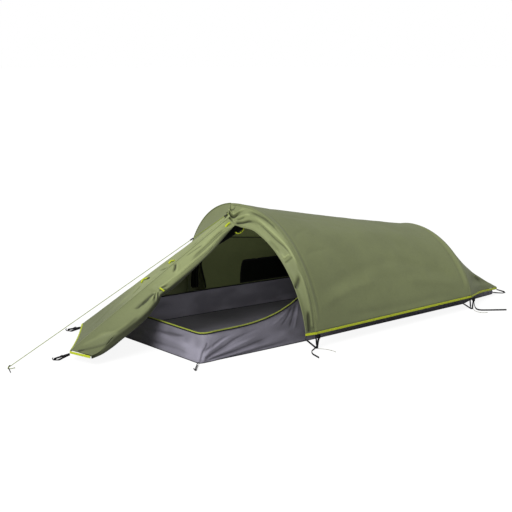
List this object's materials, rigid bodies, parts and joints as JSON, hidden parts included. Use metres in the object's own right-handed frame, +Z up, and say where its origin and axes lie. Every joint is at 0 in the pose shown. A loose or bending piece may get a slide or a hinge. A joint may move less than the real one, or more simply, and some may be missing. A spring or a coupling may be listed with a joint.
{
  "type": "one-person tent",
  "caption": "Low two-hoop one-person tent, pitched: fly with its porch door folded back, inner tent with a tub floor, poles, pegs, straps and guyline.",
  "frame": {"origin": "on the ground under the middle of the main hoop, on the underside of the groundsheet", "axes": "+X from the porch end to the foot end, +Y away from the open door's side, +Z up"},
  "size_m": [3.2896, 1.339, 0.7009],
  "materials": {
    "fly_cloth": "coated ripstop, semi-matt",
    "sleeve_cloth": "coated cloth, matt",
    "bright_tape": "woven tape, matt",
    "tub_cloth": "coated groundsheet cloth, matt",
    "canopy_cloth": "breathable cloth, matt",
    "insect_mesh": "fine mesh",
    "moulded_plastic": "moulded, semi-matt",
    "peg_metal": "anodised dark",
    "pole_tube": "anodised satin",
    "cord": "braided",
    "webbing": "woven, matt"
  },
  "bodies": {
    "tent": {"door_tab": "bright_tape", "door_tie_lower": "bright_tape", "door_tie_upper": "bright_tape", "door_zip": "bright_tape", "fly_body": "fly_cloth", "fly_door": "fly_cloth", "fly_door_pull": "bright_tape", "fly_foot": "fly_cloth", "fly_front": "fly_cloth", "fly_lip": "fly_cloth", "foot_tab": "bright_tape", "front_far_loop": "webbing", "front_tip_loop": "webbing", "guyline": "cord", "hang_loop": "bright_tape", "head_far_loop": "webbing", "head_near_loop": "webbing", "hem_binding_body": "bright_tape", "hem_binding_front": "bright_tape", "inner_canopy": "canopy_cloth", "inner_door": "insect_mesh", "inner_tub": "tub_cloth", "inner_window": "insect_mesh", "lip_strap": "webbing", "main_far_strap": "webbing", "main_near_cord": "cord", "main_near_strap": "webbing", "main_near_tail": "webbing", "main_pole_1": "pole_tube", "main_pole_2": "pole_tube", "main_pole_3": "pole_tube", "main_pole_4": "pole_tube", "main_pole_5": "pole_tube", "main_pole_sleeve": "sleeve_cloth", "rear_far_strap": "webbing", "rear_near_cord": "cord", "rear_near_strap": "webbing", "rear_near_tail": "webbing", "rear_pole_1": "pole_tube", "rear_pole_2": "pole_tube", "rear_pole_3": "pole_tube", "rear_pole_4": "pole_tube", "rear_pole_sleeve": "sleeve_cloth", "tail_far_loop": "webbing", "tail_near_loop": "webbing"},
    "front_far_peg_body": {"front_far_peg": "peg_metal"},
    "front_tip_peg_body": {"front_tip_peg": "peg_metal"},
    "head_near_peg_body": {"head_near_peg": "peg_metal"},
    "head_far_peg_body": {"head_far_peg": "peg_metal"},
    "tail_near_peg_body": {"tail_near_peg": "peg_metal"},
    "tail_far_peg_body": {"tail_far_peg": "peg_metal"},
    "guy_peg_body": {"guy_peg": "peg_metal"},
    "guy_slider_upper_body": {"guy_slider_upper": "moulded_plastic"},
    "guy_slider_lower_body": {"guy_slider_lower": "moulded_plastic"},
    "main_near_buckle_body": {"main_near_buckle": "moulded_plastic"},
    "main_far_buckle_body": {"main_far_buckle": "moulded_plastic"},
    "rear_near_buckle_body": {"rear_near_buckle": "moulded_plastic"},
    "rear_far_buckle_body": {"rear_far_buckle": "moulded_plastic"},
    "zip_slider_body": {"zip_slider": "moulded_plastic"}
  },
  "joints": [
    {"name": "front_far_peg_body_slide", "type": "slide", "parent": "tent", "child": "front_far_peg_body", "axis": [-0.8572, -0.515, 0], "range_m": [0, 0.09]},
    {"name": "front_tip_peg_body_slide", "type": "slide", "parent": "tent", "child": "front_tip_peg_body", "axis": [-0.809, -0.5878, 0], "range_m": [0, 0.09]},
    {"name": "head_near_peg_body_slide", "type": "slide", "parent": "tent", "child": "head_near_peg_body", "axis": [-0.6657, -0.7463, 0], "range_m": [0, 0.09]},
    {"name": "head_far_peg_body_slide", "type": "slide", "parent": "tent", "child": "head_far_peg_body", "axis": [-0.0898, 0.996, 0], "range_m": [0, 0.09]},
    {"name": "tail_near_peg_body_slide", "type": "slide", "parent": "tent", "child": "tail_near_peg_body", "axis": [-0.3746, -0.9272, 0], "range_m": [0, 0.09]},
    {"name": "tail_far_peg_body_slide", "type": "slide", "parent": "tent", "child": "tail_far_peg_body", "axis": [-0.3746, 0.9272, 0], "range_m": [0, 0.09]},
    {"name": "guy_peg_body_slide", "type": "slide", "parent": "tent", "child": "guy_peg_body", "axis": [0.3584, 0.9336, 0], "range_m": [0, 0.09]},
    {"name": "guy_slider_upper_body_slide", "type": "slide", "parent": "tent", "child": "guy_slider_upper_body", "axis": [-0.8947, 0.0501, -0.4438], "range_m": [0, 0.2]},
    {"name": "guy_slider_lower_body_slide", "type": "slide", "parent": "tent", "child": "guy_slider_lower_body", "axis": [-0.8947, 0.0501, -0.4438], "range_m": [-0.015, 0.9]},
    {"name": "main_near_buckle_body_slide", "type": "slide", "parent": "tent", "child": "main_near_buckle_body", "axis": [-0.2456, -0.0797, -0.9661], "range_m": [0, 0.026]},
    {"name": "main_far_buckle_body_slide", "type": "slide", "parent": "tent", "child": "main_far_buckle_body", "axis": [-0.2456, 0.0797, -0.9661], "range_m": [0, 0.026]},
    {"name": "rear_near_buckle_body_slide", "type": "slide", "parent": "tent", "child": "rear_near_buckle_body", "axis": [-0.3406, -0.1474, -0.9286], "range_m": [0, 0.026]},
    {"name": "rear_far_buckle_body_slide", "type": "slide", "parent": "tent", "child": "rear_far_buckle_body", "axis": [-0.3406, 0.1474, -0.9286], "range_m": [0, 0.026]},
    {"name": "zip_slider_body_slide", "type": "slide", "parent": "tent", "child": "zip_slider_body", "axis": [-0.9033, -0.0163, -0.4286], "range_m": [0, 0.034]}
  ]
}
